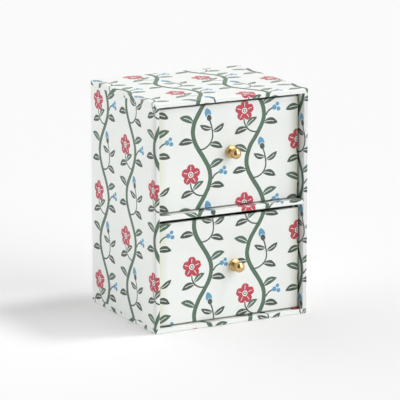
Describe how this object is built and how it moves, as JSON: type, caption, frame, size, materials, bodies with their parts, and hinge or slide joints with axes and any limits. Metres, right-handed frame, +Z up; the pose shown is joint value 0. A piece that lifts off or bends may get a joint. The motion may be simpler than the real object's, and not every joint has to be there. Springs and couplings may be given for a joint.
{
  "type": "drawer storage box",
  "caption": "Upright paper-covered board box with stacked drawers that slide out of open-fronted bays, each drawn by a small round brass knob on a recessed front.",
  "frame": {"origin": "middle of the case's footprint, on the surface that it stands on", "axes": "+Z up, drawer fronts face -Y, +X to the right as seen from the front"},
  "size_m": [0.16, 0.1412, 0.216],
  "materials": {
    "board": "bare grey-brown rigid board",
    "printed_paper": "matt off-white paper printed in green, red and blue",
    "plain_paper": "matt off-white paper",
    "brass": "turned and polished",
    "plated_steel": "bright zinc plate"
  },
  "bodies": {
    "case": {"left_side_board": "board", "right_side_board": "board", "top_board": "board", "base_board": "board", "back_board": "board", "shelf_board": "board", "side_cover_paper": "printed_paper", "top_cover_paper": "printed_paper", "base_cover_paper": "printed_paper", "shelf_edge_paper": "printed_paper", "upper_bay_lining": "plain_paper", "lower_bay_lining": "plain_paper"},
    "upper_drawer": {"upper_drawer_front_board": "board", "upper_drawer_left_board": "board", "upper_drawer_right_board": "board", "upper_drawer_back_board": "board", "upper_drawer_floor_board": "board", "upper_drawer_front_cover_paper": "printed_paper", "upper_drawer_body_cover_paper": "plain_paper", "upper_drawer_lining_paper": "plain_paper", "upper_drawer_knob": "brass", "upper_drawer_knob_screw": "plated_steel", "upper_drawer_knob_washer": "plated_steel"},
    "lower_drawer": {"lower_drawer_front_board": "board", "lower_drawer_left_board": "board", "lower_drawer_right_board": "board", "lower_drawer_back_board": "board", "lower_drawer_floor_board": "board", "lower_drawer_front_cover_paper": "printed_paper", "lower_drawer_body_cover_paper": "plain_paper", "lower_drawer_lining_paper": "plain_paper", "lower_drawer_knob": "brass", "lower_drawer_knob_screw": "plated_steel", "lower_drawer_knob_washer": "plated_steel"}
  },
  "joints": [
    {"name": "upper_drawer_slide", "type": "slide", "parent": "case", "child": "upper_drawer", "axis": [0, -1, 0], "range_m": [0, 0.09]},
    {"name": "lower_drawer_slide", "type": "slide", "parent": "case", "child": "lower_drawer", "axis": [0, -1, 0], "range_m": [-0.002, 0.088]}
  ]
}
